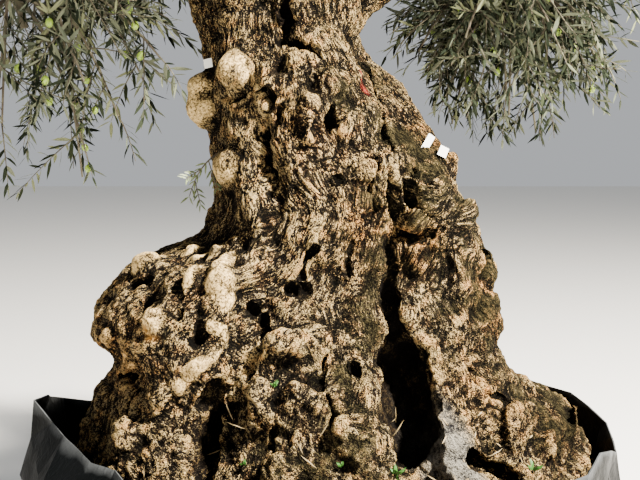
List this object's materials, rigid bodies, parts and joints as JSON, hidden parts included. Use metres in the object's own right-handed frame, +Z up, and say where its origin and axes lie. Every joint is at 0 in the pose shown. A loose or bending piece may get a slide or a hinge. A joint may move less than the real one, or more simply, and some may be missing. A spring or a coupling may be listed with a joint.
{
  "type": "olive bonsai tree",
  "caption": "Large old olive tree, trained like a bonsai, with a broad burled trunk, a low fork and loose grey-green foliage, standing in a soft black plastic pot of soil.",
  "frame": {"origin": "middle of the pot's flat underside, at floor level", "axes": "+Z up; -Y towards the side that the picture shows; +X to that view's right"},
  "size_m": [2.2799, 1.8695, 2.7655],
  "materials": {
    "bark": "rough fissured bark with pale smooth burls and patches of moss",
    "leaf": "thin leathery leaves, grey-green above and silvery below",
    "film": "soft black polyethylene, creased, half glossy",
    "soil": "dark crumbly potting soil with dry litter"
  },
  "bodies": {
    "root": {"pot": "film", "soil": "soil", "trunk": "bark", "bough_left": "bark", "bough_right": "bark", "bough_back": "bark", "bough_top_left": "bark", "bough_top_right": "bark", "bough_front": "bark", "bough_left_low": "bark", "bough_back_left": "bark", "bough_back_right": "bark", "bough_right_low": "bark", "foliage_left": "leaf", "foliage_left_low": "leaf", "foliage_top_left": "leaf", "foliage_top_right": "leaf", "foliage_right": "leaf", "foliage_right_low": "leaf", "foliage_front": "leaf", "foliage_back": "leaf", "foliage_back_left": "leaf", "foliage_back_right": "leaf", "trunk_shoot": "leaf"}
  },
  "joints": []
}
